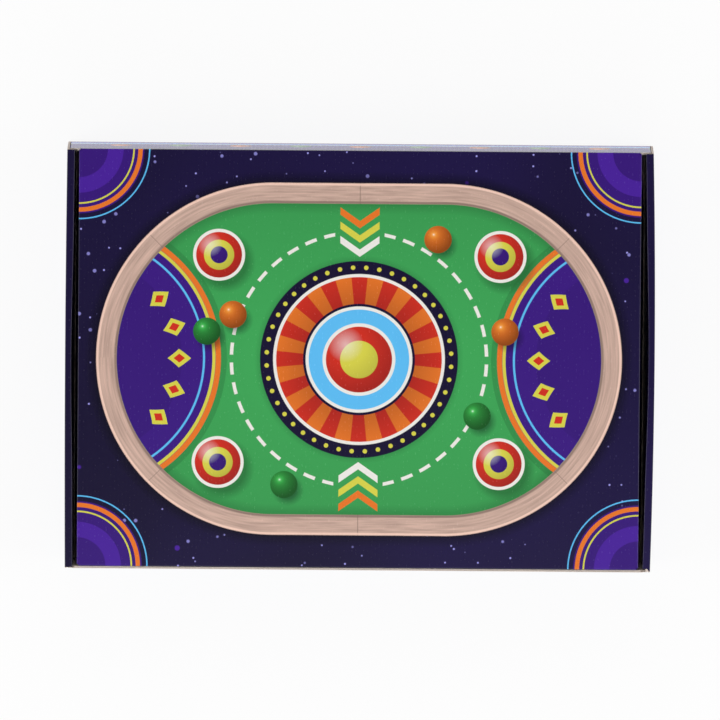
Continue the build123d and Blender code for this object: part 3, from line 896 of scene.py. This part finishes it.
class GAME_OT_lid(bpy.types.Operator):
    """The lid: its printed face and the board under it, its wings, its tuck flap and the folds between"""

    bl_idname = "game.lid"
    bl_label = "Lid"

    def execute(self, context):
        low, high = span("lid_panel")
        thickness = high[2] - low[2]
        self.panel(low, high, thickness)
        self.folds(low, high, thickness)
        self.wings(thickness)
        self.tuck_flap(low, thickness)
        return {"FINISHED"}

    def panel(self, low, high, thickness):
        """The lid between its folds, pushed up in the middle by the product of two parabolas."""
        edge, front, rear = high[0] - thickness, low[1] + thickness, high[1] - thickness
        middle, bulge, rows = high[2] - thickness / 2, in_mm("carton_sizes").bulge, 40

        def bulged(points):
            share_x = points[:, 0] / edge
            share_y = (2 * points[:, 1] - front - rear) / (rear - front)
            points[:, 2] += bulge * (1 - share_x**2) * (1 - share_y**2)
            return points

        strips = [([(-edge, middle), (edge, middle)], front, rear, rows)]
        face = board("lid_print", strips, PATH_XZ, "lid", thickness, ["print"], bulged)
        settle(face, "lid", "printed_carton", "lid_panel")
        core = board("lid_board", strips, PATH_XZ, "lid", thickness, ["wave", "backing"], bulged)
        settle(core, "lid", "printed_carton")

    def folds(self, low, high, thickness):
        """Each fold is a strip of the printed liner round a quarter circle."""
        half, relief, lip = thickness / 2, 1.2, 0.3
        quarter = np.array([(-half, 0), (0, 0), (0, -half - lip)])
        reach = high[0] - half
        side_ends = (low[1] + relief, high[1] - half)
        folds = [
            ("left", PATH_XZ, -1, reach, side_ends, "left_wing"),
            ("right", PATH_XZ, 1, reach, side_ends, "right_wing"),
            ("front", PATH_YZ, -1, -low[1] - half, (relief - high[0], high[0] - relief), "tuck"),
            ("rear", PATH_YZ, 1, high[1] - half, (-reach, reach), "tray"),
        ]
        for name, axes, sign, place, (start, end), other in folds:
            axes = axes * [[sign], [1], [1]]
            strip = (quarter + [place, high[2] - half], start, end, 1)
            piece = board(f"lid_{name}_fold", [strip], axes, "lid", thickness, ["print"])
            on_lid = ((place - half) * axes[0] + high[2] * axes[1]) * MM
            on_other = ((place + half) * axes[0] + low[2] * axes[1]) * MM
            if other == "tray":
                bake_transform(piece)
            else:
                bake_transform(piece)

    def wings(self, thickness):
        """Boards that hang from the lid's sides, with tapered ends, round corners and flutes along the fold.

        They spring out in proportion to the distance from the fold.
        """
        sizes = in_mm("carton_sizes")
        low, high = span("lid_right_wing")
        height, taper, corner = high[2] - low[2], 24.0, 14.0
        middle = (low[0] + high[0]) / 2

        def inset(at):
            past = np.clip(at - (height - corner), 0, corner)
            return taper * at / height + corner - np.sqrt(corner**2 - past**2)

        def splayed(points):
            points[:, 0] += np.sign(points[:, 0]) * sizes.splay * (high[2] - points[:, 2]) / height
            return points

        drop = [(middle, high[2] - sizes.fold_gap), (middle, low[2])]
        strip = (drop, lambda at: low[1] + inset(at), lambda at: high[1] - inset(at), 1)
        for side, sign in SIDES:
            axes = PATH_XZ * [[sign], [1], [1]]
            piece = board(f"lid_{side}_wing_board", [strip], axes, "walls", thickness, bend=splayed)
            settle(piece, f"{side}_wing", "printed_carton", f"lid_{side}_wing")

    def tuck_flap(self, lid_low, thickness):
        """The flap that tucks in at the front and leans inwards: near its ends its edge is a superellipse."""
        low, high = span("lid_tuck_flap")
        lean, rounding, power, end_height = radians(5.0), 28.0, 2.6, 0.5
        fold_y, fold_z, reach = lid_low[1] + thickness, lid_low[2], high[0]
        gap = in_mm("carton_sizes").fold_gap
        drop = (fold_z - low[2]) / cos(lean) - gap - end_height

        def depth(at):
            share = np.clip((np.abs(at - reach) - reach) / rounding + 1, 0, 1)
            return -gap - end_height - drop * (1 - share**power) ** (1 / power)

        def leaned(points):
            return points @ np.array(Matrix.Rotation(lean, 3, "X")).T + [0, fold_y, fold_z]

        across = [(reach, -thickness / 2), (-reach, -thickness / 2)]
        strip = (across, depth, -gap, 1)
        piece = board("lid_tuck_board", [strip], PATH_XY, "walls", thickness, bend=leaned)
        settle(piece, "tuck", "printed_carton", "lid_tuck_flap")


class GAME_OT_woodwork(bpy.types.Operator):
    """The game's wooden frame, painted playfield and covers, lane cards and steel"""

    bl_idname = "game.woodwork"
    bl_label = "Woodwork"

    def execute(self, context):
        flippers, covers, pins = (
            [f"{row}_{side}_{name}" for row, _ in ROWS for side, _ in SIDES]
            for name in ("flipper", "cover", "pivot_pin")
        )
        dress(["front_side_rail", "rear_side_rail"], lacquered_beech(axis=0))
        dress(["left_end_rail", "right_end_rail", "divider_wall", *flippers], lacquered_beech(axis=1))
        dress(["playfield_board"], painted_playfield())
        dress(covers, painted_cover())
        dress(["left_lane_panel", "right_lane_panel"], lane_card())
        dress([*pins, "pivot_washers", "rail_screws"], turned_steel())
        return {"FINISHED"}


class GAME_OT_balls(bpy.types.Operator):
    """The loose balls, in two colours"""

    bl_idname = "game.balls"
    bl_label = "Balls"

    def execute(self, context):
        for name, colour in (("green", "leaf"), ("orange", "orange")):
            material = moulded_ball(name, colour)
            for number in range(1, 5):
                low, high = span(f"{name}_ball_{number}")
                piece = sphere(f"{name}_round_{number}", (low + high) / 2, (high[2] - low[2]) / 2, material)
                settle(piece, f"loose_{name}_{number}", f"{name}_ball", f"{name}_ball_{number}")
        return {"FINISHED"}


class GAME_OT_stage(bpy.types.Operator):
    """The pale floor, the soft light and the camera that looks down on the lid"""

    bl_idname = "game.stage"
    bl_label = "Stage"

    def execute(self, context):
        self.floor()
        self.sky(context)
        self.lamps()
        self.camera(context)
        context.scene.view_settings.view_transform = "Standard"
        return {"FINISHED"}

    def floor(self):
        """A wide disc just under the carton, matt to all light but near white to the camera and to gloss.

        Under the carton it is matt to them too, so that no white shows through the slots in the base.
        """
        radius, sides, below, whiteness = 9000, 96, 0.2, 0.9
        turn = np.linspace(0, 2 * pi, sides, endpoint=False)
        ring = np.stack([radius * np.cos(turn), radius * np.sin(turn), 0 * turn - below], axis=1)
        finish = Finish("white_paper_floor")
        finish.shader.inputs["Base Color"].default_value = (*linear("#efefef"), 1)
        finish.shader.inputs["Roughness"].default_value = 1.0
        path = finish.add("ShaderNodeLightPath").outputs
        seen = Field(finish.tree, path["Is Camera Ray"])
        seen = seen.most(path["Is Glossy Ray"]).most(path["Is Transmission Ray"])
        half_width, half_depth, _ = span("base_panel")[1]
        beyond = (abs(finish.x) - half_width).most(abs(finish.y) - half_depth)
        share = seen * (beyond + 1).share() * whiteness
        glow = finish.add("ShaderNodeEmission", {"Color": (*WHITE, 1), "Strength": 1.0})
        mixed = {0: share, 1: finish.shader.outputs[0], 2: glow.outputs[0]}
        white = finish.add("ShaderNodeMixShader", mixed)
        finish.tree.links.new(white.outputs[0], finish.output.inputs["Surface"])
        floor = make_piece("floor", ring, [list(range(sides))], [finish.material])

    def sky(self, context):
        """Pale low down, nearly dark overhead, where the lid would mirror it, and white to the camera."""
        pale, darkening, dark_start, dark_span = 0.8, 0.76, 0.5, 0.4
        world = bpy.data.worlds.new("studio")
        context.scene.world = world
        world.use_nodes = True
        tree = world.node_tree
        tree.nodes.clear()
        direction = add_node(tree, "ShaderNodeTexCoord").outputs["Generated"]
        height = Field(tree, add_node(tree, "ShaderNodeSeparateXYZ", {0: direction}).outputs[2])
        overhead = ((height - dark_start) / dark_span).share()
        seen = Field(tree, add_node(tree, "ShaderNodeLightPath").outputs["Is Camera Ray"])
        level = (pale - overhead * darkening).most(seen)
        back = add_node(tree, "ShaderNodeBackground", {"Color": (*WHITE, 1), "Strength": level})
        add_node(tree, "ShaderNodeOutputWorld", {"Surface": back.outputs[0]})

    def lamps(self):
        """Wide soft boxes low on four sides, and a faint panel whose sheen lies on the front of the lid.

        Their places and sizes are in metres, and their powers in watts.
        """
        for name, place, size, power in (
            ("left_soft_box", (-1.9, -0.4, 1.4), (1.3, 1.3), 17.0),
            ("right_soft_box", (1.9, -0.3, 1.4), (1.3, 1.3), 17.0),
            ("front_soft_box", (0.1, -2.0, 1.3), (1.5, 1.1), 11.0),
            ("rear_soft_box", (-0.2, 2.0, 1.2), (1.5, 1.1), 8.0),
            ("sheen_panel", (0.0, -0.86, 1.6), (1.8, 1.0), 2.6),
        ):
            lamp = bpy.data.lights.new(name, "AREA")
            lamp.shape = "ELLIPSE"
            lamp.size, lamp.size_y = size
            lamp.energy = power
            holder = placed(name, lamp)
            holder.location = place
            holder.rotation_mode = "QUATERNION"
            holder.rotation_quaternion = (-Vector(place)).to_track_quat("-Z", "Y")

    def camera(self, context):
        """Looks down at the lid from a little behind it, with the hinge at the top of the picture."""
        stage = in_mm("stage_sizes")
        tilt, roll = context.scene.stage_sizes.tilt, context.scene.stage_sizes.roll
        lens = bpy.data.cameras.new("camera")
        lens.sensor_width = 36.0
        lens.lens = lens.sensor_width * stage.distance / stage.width_seen
        aim = Vector((stage.aim_x, stage.aim_y, span("lid_panel")[1][2]))
        back, right = Vector((0, sin(tilt), cos(tilt))), Vector((1, 0, 0))
        turn = Matrix((right, back.cross(right), back)).transposed().to_4x4()
        camera = placed("camera", lens)
        place = Matrix.Translation((aim + back * stage.distance) * MM)
        camera.matrix_world = place @ turn @ Matrix.Rotation(roll, 4, "Z")
        context.scene.camera = camera


class GAME_PT_panel(bpy.types.Panel):
    """Lists the pieces, and the sizes and colours that they are made from"""

    bl_label = "Boxed pinball game"
    bl_space_type = "VIEW_3D"
    bl_region_type = "UI"
    bl_category = "Game"

    def draw(self, context):
        for operator in OPERATORS:
            self.layout.operator(operator.bl_idname)
        for name in GROUPS:
            group = getattr(context.scene, name)
            box = self.layout.box()
            for setting in group.__annotations__:
                box.prop(group, setting)


GROUPS = {
    "carton_sizes": CartonSizes,
    "lid_design": LidDesign,
    "game_colours": GameColours,
    "stage_sizes": StageSizes,
}
OPERATORS = (GAME_OT_tray, GAME_OT_lid, GAME_OT_woodwork, GAME_OT_balls, GAME_OT_stage)


def register():
    for name, group in GROUPS.items():
        bpy.utils.register_class(group)
        setattr(bpy.types.Scene, name, PointerProperty(type=group))
    for made in (*OPERATORS, GAME_PT_panel):
        bpy.utils.register_class(made)


def unregister():
    for made in (GAME_PT_panel, *OPERATORS):
        bpy.utils.unregister_class(made)
    for name, group in GROUPS.items():
        delattr(bpy.types.Scene, name)
        bpy.utils.unregister_class(group)


def main():
    register()
    for operator in OPERATORS:
        group, name = operator.bl_idname.split(".")
        getattr(getattr(bpy.ops, group), name)()


if __name__ == "__main__":
    main()
